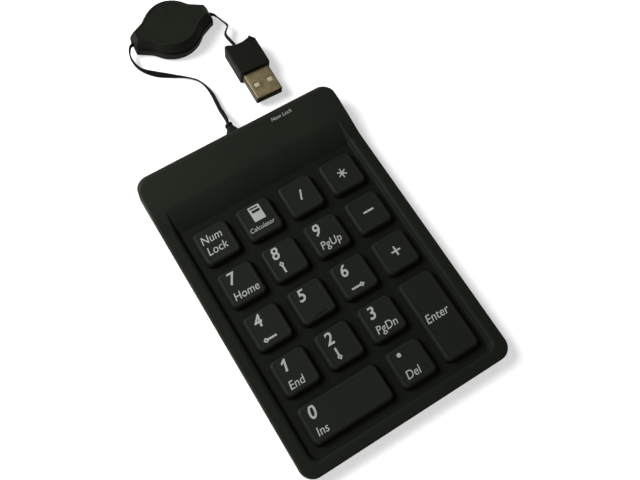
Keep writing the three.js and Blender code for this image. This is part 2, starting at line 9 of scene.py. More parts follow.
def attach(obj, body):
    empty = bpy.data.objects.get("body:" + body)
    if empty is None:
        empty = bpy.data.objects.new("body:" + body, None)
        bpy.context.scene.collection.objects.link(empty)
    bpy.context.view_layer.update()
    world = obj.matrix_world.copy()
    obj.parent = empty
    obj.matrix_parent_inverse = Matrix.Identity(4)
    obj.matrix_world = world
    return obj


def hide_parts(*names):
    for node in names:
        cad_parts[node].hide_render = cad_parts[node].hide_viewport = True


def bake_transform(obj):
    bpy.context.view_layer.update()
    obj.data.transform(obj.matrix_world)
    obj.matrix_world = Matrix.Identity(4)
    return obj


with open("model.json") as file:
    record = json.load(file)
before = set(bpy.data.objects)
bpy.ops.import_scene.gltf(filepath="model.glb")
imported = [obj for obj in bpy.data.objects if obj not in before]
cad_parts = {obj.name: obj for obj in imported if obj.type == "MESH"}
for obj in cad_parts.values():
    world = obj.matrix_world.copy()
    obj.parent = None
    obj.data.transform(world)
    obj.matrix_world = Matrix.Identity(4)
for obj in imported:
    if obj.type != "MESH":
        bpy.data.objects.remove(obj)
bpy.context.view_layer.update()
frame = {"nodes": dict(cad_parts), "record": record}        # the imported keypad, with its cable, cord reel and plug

MM = 0.001
scene = bpy.context.scene
UP = Vector((0, 0, 1))

# Sizes below are in millimetres, in the frame's own axes, and become metres when a mesh is made.
# The skin has a rim, a sunken field for the keys, and a ramp up to a sloped header behind them.
KEYPAD = {"half": 45.0, "rear": 64.75, "corner": 5.5}
RIM_TOP = 6.7
FLOOR_TOP = 5.0
FLOOR_UNDER = 4.0
BASE_TOP = 1.25
WALL = 1.8
RAMP_START = 38.3
HEADER_START = 39.2
CREASE = 48.45   # where the ramp ends and the header goes on by itself
RIM_SLOPE = 0.215
HEADER_SLOPE = 0.185
RAMP_SLOPE = 0.3635
UNDERSIDE = {"ramp_start": 39.0, "ramp_slope": 0.327}
RECESS = {"half": 39.5, "front": -59.55, "corner": 3.0}

PITCH = 19.0
FIRST_COLUMN = -28.5
FIRST_ROW = 27.55
KEY_HALF = 7.25
KEY_CORNER = 2.2
KEY_ROWS = [
    ["num_lock", "calculator", "divide", "multiply"],
    ["7", "8", "9", "minus"],
    ["4", "5", "6", "plus"],
    ["1", "2", "3", "enter"],
    ["0", None, "decimal", None],
]
SPANS = {"enter": (1, 2), "0": (2, 1)}   # how many columns and rows the long keys cover

REEL = {"x": 3.05, "y": 121.95, "tilt": -4.5, "radius": 13.0, "split": 5.4, "top": 9.9}
EAR = {"end": 17.9, "half": 3.3, "slope": 0.55}
WINDING = {"inner": 5.0, "outer": 9.7, "low": 3.2, "high": 5.7}
CORD_IN_REEL_Z = 4.45
EAR_BEND = 15.6
LEAD_RADIUS = WINDING["outer"] + 0.95
LEAD_ANGLE = math.degrees(math.acos(LEAD_RADIUS / EAR_BEND))

PLUG = {"x": 23.35, "y": 86.0, "turn": 2.2, "half": 6.9, "length": 15.5, "height": 8.0}
SHELL = {"width": 12.0, "height": 4.5, "wall": 0.32, "front": -12.2, "back": 3.2}
SHELL_WINDOW = {"x": 3.05, "y": -6.2, "half_x": 1.2, "half_y": 1.1}
PLUG_Z = PLUG["height"] / 2


# ---- camera
def linked(name, data):
    """A new object in the scene."""
    obj = bpy.data.objects.new(name, data)
    scene.collection.objects.link(obj)
    return obj


def assign(thing, **values):
    for name, value in values.items():
        setattr(thing, name, value)
    return thing


def make_camera():
    """A camera fitted to the keypad's corners and its key grid in the photo."""
    camera = linked("camera", assign(bpy.data.cameras.new("camera"), lens=46.79, sensor_width=36,
                                     shift_x=0.0566, shift_y=-0.0668, clip_start=0.01))
    right = Vector((0.85288, -0.52021, 0.04435)).normalized()
    back = Vector((-0.23229, -0.30201, 0.92457)).normalized()
    turn = Matrix((right, back.cross(right), back)).transposed().to_4x4()
    camera.matrix_world = Matrix.Translation(Vector((-72.33, -67.74, 308.32)) * MM) @ turn
    scene.camera = camera


make_camera()


# ---- mesh helpers
def lerp(a, b, t):
    return a + (b - a) * t


def smoothstep(t):
    t = min(max(t, 0.0), 1.0)
    return t * t * (3 - 2 * t)


def finish_mesh(name, bm, place=None, sharp=35.0):
    """Turns a bmesh in millimetres into an object in metres, with smooth shading below the sharp angle."""
    bmesh.ops.remove_doubles(bm, verts=bm.verts, dist=0.0005)
    bmesh.ops.dissolve_degenerate(bm, dist=0.0005, edges=bm.edges)
    bmesh.ops.recalc_face_normals(bm, faces=bm.faces)
    if place is not None:
        bm.transform(place)
    bm.transform(Matrix.Scale(MM, 4))
    mesh = bpy.data.meshes.new(name)
    bm.to_mesh(mesh)
    bm.free()
    for polygon in mesh.polygons:
        polygon.use_smooth = True
    mesh.set_sharp_from_angle(angle=math.radians(sharp))
    return linked(name, mesh)


def weigh_normals(obj):
    """Keeps large flat faces flat where small rounded ones meet them."""
    assign(obj.modifiers.new("weighted_normals", "WEIGHTED_NORMAL"), keep_sharp=True, weight=100)
    return obj


def ring(bm, points):
    return [bm.verts.new(p) for p in points]


def skin_between(bm, rings):
    """Faces between neighbouring closed rings that have the same number of vertices."""
    for low, high in zip(rings, rings[1:]):
        count = len(low)
        for i in range(count):
            j = (i + 1) % count
            bm.faces.new((low[i], low[j], high[j], high[i]))


def loft(bm, sections):
    """A skin through point lists of one length, with flat caps."""
    rings = [ring(bm, points) for points in sections]
    skin_between(bm, rings)
    bm.faces.new(list(reversed(rings[0])))
    bm.faces.new(rings[-1])


def lofted(name, sections, place=None, sharp=35.0):
    bm = bmesh.new()
    loft(bm, sections)
    return finish_mesh(name, bm, place, sharp)


def polar(radius, degrees):
    angle = math.radians(degrees)
    return radius * math.cos(angle), radius * math.sin(angle)


def placed(x, y, z=0.0, turn=0.0):
    """A place, and a turn in degrees about the upright axis."""
    return Matrix.Translation((x, y, z)) @ Matrix.Rotation(math.radians(turn), 4, "Z")


def rounded_rect(left, right, front, rear, corners, arc=6, side_stops=()):
    """Points anticlockwise round a rectangle. corners is one radius, or (front, rear) radii; side_stops are
    extra places along both long sides, taken no further back than the rear edge."""
    r_front, r_rear = corners if isinstance(corners, tuple) else (corners, corners)
    points = []

    def corner(x, y, radius, first):
        for step in range(arc + 1):
            dx, dy = polar(radius, first + 90 * step / arc)
            points.append((x + dx, y + dy))

    stops = [min(y, rear) for y in side_stops]
    corner(right - r_front, front + r_front, r_front, -90)
    points.extend((right, y) for y in stops)
    corner(right - r_rear, rear - r_rear, r_rear, 0)
    corner(left + r_rear, rear - r_rear, r_rear, 90)
    points.extend((left, y) for y in reversed(stops))
    corner(left + r_front, front + r_front, r_front, 180)
    return points


def rect_about(x, y, half_x, half_y, corner, arc):
    return rounded_rect(x - half_x, x + half_x, y - half_y, y + half_y, corner, arc)


def lathe(bm, profile, sides, place=None):
    """A closed body turned round the z axis from (radius, z) points that start and end on the axis."""
    first = len(bm.verts)
    rings = [ring(bm, [(*polar(radius, 360 * i / sides), z) for i in range(sides)])
             for radius, z in profile[1:-1]]
    skin_between(bm, rings)
    for end, z in ((rings[0], profile[0][1]), (rings[-1], profile[-1][1])):
        tip = bm.verts.new((0, 0, z))
        for i in range(sides):
            bm.faces.new((end[i], end[(i + 1) % sides], tip))
    if place is not None:
        bm.verts.ensure_lookup_table()
        bmesh.ops.transform(bm, matrix=place, verts=bm.verts[first:])


def put_in_order(bm):
    """Fills and extrusions make the same faces in a varying order, so they are sorted by their places."""
    for items, place in ((bm.verts, lambda v: tuple(v.co)),
                         (bm.faces, lambda f: tuple(f.calc_center_median()))):
        for rank, item in enumerate(sorted(items, key=place)):
            item.index = rank
        items.sort()


def moved_in(outline, distance):
    """A closed outline moved inwards, each corner along its own bisector."""
    count = len(outline)
    result = []
    for i, point in enumerate(outline):
        p = Vector(point)
        before = (p - Vector(outline[i - 1])).normalized()
        after = (Vector(outline[(i + 1) % count]) - p).normalized()
        inward = (Vector((-before.y, before.x)) + Vector((-after.y, after.x))).normalized()
        share = max(inward.dot(Vector((-before.y, before.x))), 0.4)
        result.append(tuple(p + inward * distance / share))
    return result


def at_height(outline, z):
    return [(x, y, z) for x, y in outline]


def stacked(outline, steps):
    """Sections from a function that gives the outline for each step of (size change, height)."""
    return [at_height(outline(change), z) for change, z in steps]


def catmull_rom(points, spacing):
    """A centripetal Catmull-Rom curve through points whose first three values are a place."""
    points = [Vector(p) for p in points]
    points = [2 * points[0] - points[1], *points, 2 * points[-1] - points[-2]]
    curve = []
    for p0, p1, p2, p3 in zip(points, points[1:], points[2:], points[3:]):
        d0, d1, d2 = (math.sqrt(Vector((b - a)[:3]).length) for a, b in ((p0, p1), (p1, p2), (p2, p3)))
        m1 = ((p1 - p0) / d0 - (p2 - p0) / (d0 + d1) + (p2 - p1) / d1) * d1
        m2 = ((p2 - p1) / d1 - (p3 - p1) / (d1 + d2) + (p3 - p2) / d2) * d1
        steps = max(2, round(Vector((p2 - p1)[:3]).length / spacing))
        for step in range(steps):
            t = step / steps
            curve.append(p1 + m1 * t + (-3 * p1 + 3 * p2 - 2 * m1 - m2) * t ** 2
                         + (2 * p1 - 2 * p2 + m1 + m2) * t ** 3)
    curve.append(points[-2])
    return curve


# ---- the ribbon cords
RIBBON = {"width": 2.4, "thickness": 0.66}
STANDING = 90.0   # the twist of a ribbon that stands on its edge; a flat one has 0
ROUTE_FLOOR = {"height": 1.35, "reach": 1.2, "gap": 0.03}   # a route's low parts are let down to the floor
reel_place = placed(REEL["x"], REEL["y"], turn=REEL["tilt"])


def from_reel(x, y, z):
    across, along = polar(1, REEL["tilt"])
    return (REEL["x"] + x * across - y * along, REEL["y"] + x * along + y * across, z)


def in_ear(side):
    """The route from the winding's rim to just inside an ear's mouth."""
    on_rim = [polar(LEAD_RADIUS, LEAD_ANGLE + further) for further in (50, 25, 0)]
    touch_x, touch_y = on_rim[2]
    half_way = ((touch_x + EAR_BEND) / 2, touch_y / 2)
    return [(*from_reel(side * x, side * y, CORD_IN_REEL_Z), STANDING)
            for x, y in (*on_rim, half_way, (EAR_BEND, 0.25))]


# Each point is a place and the ribbon's twist there, in degrees.
KEYPAD_CORD_ROUTE = [
    (1.0, 70.4, 5.0, 72), (1.6, 72.2, 4.5, 70), (2.1, 75.3, 3.1, 66), (2.5, 79.5, 1.8, 64),
    (2.9, 83.4, 1.3, 64), (3.2, 87.6, 1.3, 72), (2.7, 92.2, 1.3, 98), (1.2, 96.3, 1.3, 113),
    (-2.3, 100.0, 1.3, 112), (-7.2, 103.6, 1.3, 80), (-12.0, 107.4, 1.3, 40), (-16.2, 111.6, 1.4, 81),
    (-18.1, 116.0, 2.2, 89), (-18.2, 119.4, 3.2, 90), (-17.2, 121.8, 4.0, 90), (-16.1, 123.0, 4.4, 90),
    (*from_reel(-EAR["end"], 0, CORD_IN_REEL_Z), STANDING),
]
PLUG_CORD_ROUTE = [
    (*from_reel(EAR["end"], 0, CORD_IN_REEL_Z), STANDING),
    (22.2, 119.6, 4.4, 76), (23.1, 117.6, 4.3, 64), (23.8, 115.4, 4.2, 63), (24.5, 113.6, 4.1, 70),
    (24.7, 112.2, 4.0, 88), (23.9, 111.1, 4.0, 100), (22.7, 110.1, 4.0, 104), (21.9, 108.9, 4.0, 100),
    (21.7, 107.6, 4.0, 95), (21.9, 106.2, 4.0, 95), (22.1, 104.6, 4.0, 96), (22.4, 102.9, 4.0, 97),
    (22.6, 101.2, 4.0, 97),
]


def ribbon_section():
    """A flat section with round edges and a shallow valley between its two wires, as (across, through)."""
    half, round_off = RIBBON["width"] / 2, RIBBON["thickness"] / 2
    side = [(half - round_off + across, through)
            for across, through in (polar(round_off, degrees) for degrees in range(-90, 91, 45))]
    valley = [(0.55, 1.0), (0.25, 0.96), (0.0, 0.72), (-0.25, 0.96), (-0.55, 1.0)]
    top = [(x, share * round_off) for x, share in valley]
    return [*side, *top, *((-x, -z) for x, z in side), *((-x, -z) for x, z in top)]


def ribbon(name, route):
    """A ribbon along the route, twisted as the route says and let down onto the floor where it is low."""
    section = ribbon_section()
    curve = catmull_rom(route, 0.5)
    places = []
    for x, y, z, twist in curve:
        flat, upright = (abs(part) for part in polar(0.5, twist))
        half_height = RIBBON["width"] * upright + RIBBON["thickness"] * flat
        low = 1 - smoothstep((z - ROUTE_FLOOR["height"]) / ROUTE_FLOOR["reach"])
        places.append(Vector((x, y, lerp(z, half_height + ROUTE_FLOOR["gap"], low))))
    sections = []
    for i, place in enumerate(places):
        tangent = (places[min(i + 1, len(places) - 1)] - places[max(i - 1, 0)]).normalized()
        level = tangent.cross(UP).normalized()
        upright = level.cross(tangent)
        flat, raised = polar(1, curve[i][3])
        across = level * flat + upright * raised
        through = tangent.cross(across)
        sections.append([place + across * a + through * b for a, b in section])
    return lofted(name, sections, sharp=50), [tuple(p * MM) for p in places]


keypad_cord, keypad_path = ribbon("keypad_ribbon", [*KEYPAD_CORD_ROUTE, *reversed(in_ear(-1))])
plug_cord, plug_path = ribbon("plug_ribbon", [*in_ear(1), *PLUG_CORD_ROUTE])


def wound_ribbon():
    """The two sides of the cable, wound together on the spool as one spiral band."""
    per_turn = 48
    pitch = 2 * (RIBBON["thickness"] + 0.1)
    first = WINDING["inner"] + 0.35
    middle = (WINDING["low"] + WINDING["high"]) / 2
    steps = int((WINDING["outer"] - 0.3 - first) / pitch * per_turn) + 1
    half = RIBBON["width"] / 2
    shape = [(-0.28, -0.85), (0, -1), (0.28, -0.85), (0.28, 0.85), (0, 1), (-0.28, 0.85)]
    bm = bmesh.new()
    for start in (0, 180):
        sections = []
        for step in range(steps):
            outward = Vector((*polar(1, start + 360 * step / per_turn), 0))
            sections.append([outward * (first + pitch * step / per_turn + a) + UP * (middle + b * half)
                             for a, b in shape])
        loft(bm, sections)
    return finish_mesh("wound_ribbon", bm, reel_place)


winding = wound_ribbon()


# ---- the soft skin
def bend_in(t, reach=0.4):
    """Zero before t = 0 and t after it, with a short round bend between."""
    if t <= -reach:
        return 0.0
    if t >= reach:
        return t
    return (t + reach) ** 2 / (4 * reach)


def sloped_height(y, flat, start, slope):
    """Flat at the front, sloped from the start, and parallel to the header behind the crease."""
    return flat + slope * bend_in(y - start) + (HEADER_SLOPE - slope) * bend_in(y - CREASE)


def rim_height(y):
    return sloped_height(y, RIM_TOP, HEADER_START, RIM_SLOPE)


def floor_height(y):
    return sloped_height(y, FLOOR_TOP, RAMP_START, RAMP_SLOPE)


def underside_height(y):
    return sloped_height(y, FLOOR_UNDER, UNDERSIDE["ramp_start"], UNDERSIDE["ramp_slope"])


def key_places():
    """Each key's name, middle and half sizes."""
    places = []
    for row, names in enumerate(KEY_ROWS):
        for column, name in enumerate(names):
            if name is None:
                continue
            across, down = SPANS.get(name, (1, 1))
            places.append({
                "name": name,
                "x": FIRST_COLUMN + PITCH * (column + (across - 1) / 2),
                "y": FIRST_ROW - PITCH * (row + (down - 1) / 2),
                "half_x": KEY_HALF + PITCH * (across - 1) / 2,
                "half_y": KEY_HALF + PITCH * (down - 1) / 2,
            })
    return places


KEYS = key_places()
# Where the skin's sides have points: close together at each bend of the ramp and the header.
SIDE_STOPS = (-40, -20, 0, 20, 36.6, 37.9, 38.3, 38.7, 39.2, 39.6, 41, 44, 47, 48.05, 48.45, 48.85, 52, 56)
SKIN_ARC = 9      # steps in each corner of the skin's outlines
FLAT_END = 36.6   # the flat floor ends here and the ramp's own faces start


def skin_outline(side_in, rear_in=None):
    """The skin's edge from above, moved in, with its rear moved in by its own distance if that is given."""
    rear_in = side_in if rear_in is None else rear_in
    radius = max(KEYPAD["corner"] - side_in, 0.5)
    half = KEYPAD["half"] - side_in
    return rounded_rect(-half, half, -KEYPAD["rear"] + side_in, KEYPAD["rear"] - rear_in, radius,
                        SKIN_ARC, SIDE_STOPS)


def outer_rings(edge=0.7, rear_edge=2.6):
    """The side wall and its rounded top edge, from the bottom up. The rear edge is the rounder one."""
    inner = skin_outline(edge, rear_edge)
    tops = [rim_height(y) for _, y in inner]
    arc_start = KEYPAD["rear"] - rear_edge - KEYPAD["corner"] + edge
    rearness = [smoothstep((y - arc_start) / (KEYPAD["corner"] - edge)) for _, y in inner]
    rings = stacked(skin_outline, [(0.45, BASE_TOP), (0.12, BASE_TOP + 0.12), (0.0, BASE_TOP + 0.45)])
    for step in range(7):
        inset, drop = (1 - part for part in polar(1, 90 * step / 6))
        outline = skin_outline(edge * inset, rear_edge * inset)
        rings.append([(x, y, top - drop * lerp(edge, rear_edge, rear))
                      for (x, y), top, rear in zip(outline, tops, rearness)])
    return rings


def recess_rings():
    """From the rim's inner edge down the recess wall to the floor. The wall fades out up the ramp."""
    rings = []
    # (how far out from the recess's own size, how far below the rim or above the floor)
    shape = [(2.0, 0.0, "rim"), (1.4, 0.05, "rim"), (0.85, 0.16, "rim"), (0.4, 0.36, "rim"),
             (0.1, 0.64, "rim"), (-0.12, 0.62, "floor"), (-0.35, 0.32, "floor"), (-0.7, 0.1, "floor"),
             (-1.2, 0.0, "floor")]
    for out, step, side in shape:
        half = RECESS["half"] + out
        outline = rounded_rect(-half, half, RECESS["front"] - out, CREASE,
                               (RECESS["corner"] + out, 0.0), SKIN_ARC, SIDE_STOPS)
        points = []
        for x, y in outline:
            at_crease = y > CREASE - 0.01
            depth = 0.0 if at_crease else rim_height(y) - floor_height(y)
            share = min(depth / (RIM_TOP - FLOOR_TOP), 1.0)
            down = side == "rim" or at_crease
            z = rim_height(y) - step * share if down else floor_height(y) + step * share
            points.append((math.copysign(RECESS["half"] + out * share, x) if abs(x) > half - 0.001 else x,
                           y, z))
        rings.append(points)
    return rings


def deck(bm, edge, height, openings):
    """Fills a ring: a flat part with openings, then faces straight across at each stop further back."""
    right, left = (sorted((v for v in edge if v.co.x * side > 0 and v.co.y >= FLAT_END - 0.01),
                          key=lambda v: (round(v.co.y, 3), -abs(v.co.x))) for side in (1, -1))
    for (a, b), (c, d) in zip(zip(right, right[1:]), zip(left, left[1:])):
        bm.faces.new((a, b, d, c))
    around = [v for v in edge if v.co.y <= FLAT_END + 0.01]
    members = set(around)
    edges = list(dict.fromkeys(e for v in around for e in v.link_edges if e.other_vert(v) in members))
    loops = []
    for outline in openings:
        loop = ring(bm, at_height(outline, height))
        loops.append(loop)
        edges.extend(bm.edges.new((loop[i], loop[(i + 1) % len(loop)])) for i in range(len(loop)))
    bmesh.ops.triangle_fill(bm, use_beauty=True, use_dissolve=False, edges=edges)
    return loops


def key_outline(key, out, arc=7):
    return rect_about(key["x"], key["y"], key["half_x"] + out, key["half_y"] + out,
                      max(KEY_CORNER + out, 0.4), arc)


def make_skin():
    bm = bmesh.new()
    rings = [ring(bm, points) for points in (*outer_rings(), *recess_rings())]
    skin_between(bm, rings)
    inside = skin_outline(WALL)
    inner = [ring(bm, at_height(inside, BASE_TOP)),
             ring(bm, [(x, y, underside_height(y)) for x, y in inside])]
    skin_between(bm, [rings[0], *inner])
    openings = [key_outline(key, 0.65, 4) for key in KEYS]
    upper = deck(bm, rings[-1], FLOOR_TOP, openings)
    lower = deck(bm, inner[-1], FLOOR_UNDER, openings)
    for top_loop, bottom_loop in zip(upper, lower):
        skin_between(bm, [top_loop, bottom_loop])
    put_in_order(bm)
    return weigh_normals(finish_mesh("skin", bm, sharp=40))


skin = make_skin()


# ---- the keys
# (how far out from the key's nominal half size, height), from the skirt's root on the floor to the top edge
KEY_SIDE = [
    (1.15, 4.88), (0.92, 4.97), (0.76, 5.07), (0.62, 5.25), (0.52, 5.55), (0.43, 5.95), (0.33, 6.4),
    (0.2, 6.8), (0.04, 7.15), (-0.12, 7.42), (-0.3, 7.65), (-0.5, 7.83), (-0.7, 7.95), (-0.9, 8.01),
    (-1.1, 8.02), (-1.35, 7.995), (-1.65, 7.965), (-2.2, 7.955), (-3.0, 7.95),
]
KEY_UNDER = [(0.5, 4.7), (0.4, 4.2), (-1.5, 4.2), (-1.5, 6.6), (-1.8, 6.8)]
POST_HALF = 2.5
POST_SIDE = [(-0.3, 3.7), (0.0, 3.95), (0.0, 6.4), (0.5, 6.85)]


def make_key(key):
    """The springy cap, moulded in one with the floor round it, and the post that presses the membrane."""
    cap = stacked(lambda out: key_outline(key, out), [*reversed(KEY_UNDER), *KEY_SIDE])
    post = stacked(lambda out: rect_about(key["x"], key["y"], POST_HALF + out, POST_HALF + out,
                                          1.0 + out, 4), POST_SIDE)
    return (weigh_normals(lofted(f"cap_{key['name']}", cap, sharp=50)),
            lofted(f"post_{key['name']}", post, sharp=50))


caps = {key["name"]: make_key(key) for key in KEYS}

# A slim raised bar near the lower edge of the 5 marks the home position.
HOME_KEY = next(key for key in KEYS if key["name"] == "5")


def make_home_bar():
    middle, half_x, half_y = HOME_KEY["y"] - 5.3, 3.2, 0.35
    return lofted("home_bar", stacked(
        lambda out: rect_about(HOME_KEY["x"], middle, half_x + out, half_y + out, half_y - 0.01 + out, 5),
        [(0.05, 7.9), (0.0, 8.1), (-0.1, 8.2), (-0.25, 8.24)]), sharp=60)


home_bar = make_home_bar()


# ---- the legends
# "weight" and "bold" widen the letters' strokes, for words and for digits.
INK = {"bottom": 7.94, "thickness": 0.06, "slant": 0.17, "weight": 0.003, "bold": 0.018, "layer": 0.004}


def text_outline(words, weight):
    """Flat text of size 1 as a bmesh, with its baseline on y = 0."""
    curve = assign(bpy.data.curves.new("legend", "FONT"), body=words, shear=INK["slant"], offset=weight,
                   resolution_u=5, space_character=1.02)
    obj = linked("legend", curve)
    mesh = bpy.data.meshes.new_from_object(obj.evaluated_get(bpy.context.evaluated_depsgraph_get()))
    bm = bmesh.new()
    bm.from_mesh(mesh)
    bpy.data.objects.remove(obj)
    bpy.data.curves.remove(curve)
    bpy.data.meshes.remove(mesh)
    bmesh.ops.remove_doubles(bm, verts=bm.verts, dist=0.0005)
    return bm


capital = text_outline("H", INK["weight"])
CAP_HEIGHT = max(v.co.y for v in capital.verts)
capital.free()


def thicken(bm, thickness):
    """Gives flat artwork a little thickness, as a closed body."""
    flat = list(bm.faces)
    for face in flat:
        if face.normal.z < 0:
            face.normal_flip()
    made = bmesh.ops.extrude_face_region(bm, geom=flat, use_keep_orig=True)
    raised = [v for v in made["geom"] if isinstance(v, bmesh.types.BMVert)]
    bmesh.ops.translate(bm, vec=(0, 0, thickness), verts=raised)


def printed_text(words, left, bottom, height, wide=1.0, weight=None):
    """Text in millimetres with its capitals' height given, from its left edge and baseline."""
    bm = text_outline(words, INK["weight"] if weight is None else weight)
    scale = height / CAP_HEIGHT
    start = min(v.co.x for v in bm.verts)
    for v in bm.verts:
        v.co = ((v.co.x - start) * scale * wide + left, v.co.y * scale + bottom, 0)
    return bm


def merge(bmeshes):
    """One bmesh from several, which are freed."""
    mesh = bpy.data.meshes.new("merged")
    whole = bmesh.new()
    for bm in bmeshes:
        bm.to_mesh(mesh)
        whole.from_mesh(mesh)
        bm.free()
    bpy.data.meshes.remove(mesh)
    return whole


def printed_shape(outlines):
    """Filled shapes, each from an outline of (x, y) points in millimetres."""
    bm = bmesh.new()
    for layer, outline in enumerate(outlines):
        bm.faces.new(ring(bm, at_height(outline, layer * INK["layer"])))
    return bm


def bar(x0, x1, y0, y1, radius=0.15):
    return rounded_rect(x0, x1, y0, y1, radius, 3)


def slanted(x0, y0, x1, y1, width):
    """A bar from one point to another."""
    along = Vector((x1 - x0, y1 - y0)).normalized()
    side = Vector((-along.y, along.x)) * width / 2
    a, b = Vector((x0, y0)), Vector((x1, y1))
    return [tuple(a - side), tuple(b - side), tuple(b + side), tuple(a + side)]


def printed_frame(outlines):
    """A filled shape with holes: the first outline is the shape's edge and the others are its holes."""
    bm = bmesh.new()
    edges = []
    for outline in outlines:
        loop = ring(bm, at_height(outline, 0))
        edges.extend(bm.edges.new((loop[i], loop[(i + 1) % len(loop)])) for i in range(len(loop)))
    bmesh.ops.triangle_fill(bm, use_beauty=True, use_dissolve=False, edges=edges)
    return bm


def arrow(turn, x, y, length=4.8, head=2.0, stem=0.8, head_length=2.5):
    """A striped stem and a hollow diamond head with its middle at (x, y), turned anticlockwise from up."""
    half = length / 2
    widest = half - head_length * 0.45
    diamond = [(0, half), (-head / 2, widest), (0, half - head_length), (head / 2, widest)]
    hole = [(px * 0.3, widest + (py - widest) * 0.3) for px, py in diamond]
    stripe = (length - head_length) / 3

    def upright(half_width, low, high):
        return [(-half_width, low), (half_width, low), (half_width, high), (-half_width, high)]

    stripes = [upright(stem / 2, low, low + stripe * 0.8) for low in (-half + stripe * n for n in range(4))]
    stripes.append(upright(stem / 4, -half, half - head_length * 0.8))
    whole = merge([printed_shape(stripes), printed_frame([diamond, hole])])
    whole.transform(placed(x, y, turn=turn))
    return whole


def calculator_icon():
    """A white pocket calculator with two dark lines for its display."""
    return printed_frame([bar(-2.3, 2.6, -0.6, 5.8, 0.4), bar(-1.75, 1.8, 4.6, 5.25, 0.12),
                          bar(-1.4, 2.05, 2.95, 4.05, 0.12)])


DIGIT = {"left": -3.95, "bottom": 1.4, "height": 4.6, "wide": 0.94}
WORD = {"left": -5.2, "bottom": -4.9, "height": 3.1, "wide": 0.92}


def digit_one():
    """A slanted 1 with a flag at its top, as (x, y) points."""
    low, high, slant = DIGIT["bottom"], DIGIT["bottom"] + DIGIT["height"], INK["slant"] + 0.05
    stem = [(-2.95, low), (-2.05, low), (-2.05, high), (-2.8, high)]
    flag = [(-2.95, high - 1.35), (-2.6, high - 0.1), (-2.8, high - 0.1), (-3.9, high - 1.0),
            (-3.9, high - 1.85)]
    return [[(x + (y - low) * slant, y) for x, y in outline] for outline in (stem, flag)]


def digit(character, column=0.0):
    return printed_text(character, DIGIT["left"] + column, DIGIT["bottom"], DIGIT["height"], DIGIT["wide"],
                        INK["bold"])


def word(words, left=WORD["left"], bottom=WORD["bottom"], height=WORD["height"], wide=WORD["wide"]):
    return printed_text(words, left, bottom, height, wide)


ZERO_COLUMN = -PITCH / 2   # the 0 key spans two columns and carries its legend in the first
LEGENDS = {
    "num_lock": [word("Num", -5.2, 1.2, 3.2), word("Lock", -5.0, -3.6, 3.2)],
    "calculator": [calculator_icon(), word("Calculator", -5.9, -4.0, 1.75, 0.98)],
    "divide": [printed_shape([slanted(-0.85, -1.6, 0.85, 2.4, 0.7)])],
    "multiply": [printed_shape([slanted(0, -2.0, 0, 2.0, 0.5), slanted(-1.7, -1.0, 1.7, 1.0, 0.5),
                                slanted(-1.7, 1.0, 1.7, -1.0, 0.5)])],
    "7": [digit("7"), word("Home")],
    "8": [digit("8"), arrow(0, -2.3, -2.35)],
    "9": [digit("9"), word("PgUp", -4.6, -4.4)],
    "minus": [printed_shape([bar(-2.1, 2.5, -0.05, 0.7)])],
    "4": [digit("4"), arrow(90, -1.6, -4.1, 5.6)],
    "5": [digit("5")],
    "6": [digit("6"), arrow(-90, -0.9, -4.1, 5.6)],
    "plus": [printed_shape([bar(-1.8, 2.2, -0.1, 0.6), bar(-0.15, 0.55, -1.7, 2.2)])],
    "1": [printed_shape(digit_one()), word("End", -4.7, -5.1)],
    "2": [digit("2"), arrow(180, -2.3, -2.7)],
    "3": [digit("3"), word("PgDn", -4.6, -4.6)],
    "enter": [word("Enter", -5.5, -1.3, 3.3)],
    "0": [digit("0", ZERO_COLUMN), word("Ins", -4.7 + ZERO_COLUMN, -4.8)],
    "decimal": [printed_shape([bar(-3.4, -1.7, 3.6, 5.3, 0.8)]), word("Del", -4.4, -4.8)],
}


def printed_legend(name, bmeshes, place):
    whole = merge(bmeshes)
    whole.normal_update()
    thicken(whole, INK["thickness"])
    put_in_order(whole)
    return finish_mesh(name, whole, place, sharp=20)


legends = {
    key["name"]: printed_legend(f"legend_{key['name']}", LEGENDS[key["name"]],
                                placed(key["x"], key["y"], INK["bottom"]))
    for key in KEYS
}

HEADER_LABEL = {"x": 15.5, "y": 59.8, "height": 1.5}
header_label = printed_legend(
    "header_label",
    [printed_text("Num Lock", 0, 0, HEADER_LABEL["height"])],
    placed(HEADER_LABEL["x"], HEADER_LABEL["y"], rim_height(HEADER_LABEL["y"]) - INK["thickness"] / 2)
    @ Matrix.Rotation(math.atan(HEADER_SLOPE), 4, "X"))


# ---- the hard base
def make_base():
    """A dish with a rounded lower edge, a rib inside its border, and four round bosses."""
    def outline(inset):
        return rect_about(0, 0, KEYPAD["half"] - inset, KEYPAD["rear"] - inset,
                          max(KEYPAD["corner"] - inset, 1.0), 9)

    bm = bmesh.new()
    loft(bm, stacked(outline, [
        (1.0, 0.0), (0.62, 0.0), (0.4, 0.08), (0.26, 0.22), (0.2, 0.4), (0.2, 0.85), (0.26, 1.02),
        (0.4, 1.15), (0.6, 1.2), (2.1, 1.2), (2.1, 2.35), (2.25, 2.5), (3.15, 2.5), (3.3, 2.35),
        (3.3, 1.2), (3.6, 1.2)]))
    for x, y, radius in ((-12, 49, 2.4), (12, 49, 2.4), (-22, 57.5, 1.6), (22, 57.5, 1.6)):
        lathe(bm, [(0, 1.0), (radius + 0.4, 1.0), (radius + 0.4, 1.25), (radius, 1.6), (radius, 2.9),
                   (radius - 0.15, 3.04), (1.15, 3.04), (1.0, 1.9), (0, 1.9)], 24, placed(x, y))
    return weigh_normals(finish_mesh("base_plate", bm, sharp=40))


base = make_base()


# ---- the nose where the cable leaves
def rounded_section(y, x, z, half_x, half_z):
    """A superellipse that faces along y."""
    power, sides = 2.6, 28
    points = []
    for i in range(sides):
        a = 2 * math.pi * i / sides
        c, s = math.cos(a), math.sin(a)
        points.append((x + half_x * math.copysign(abs(c) ** (2 / power), c), y,
                       z + half_z * math.copysign(abs(s) ** (2 / power), s)))
    return points


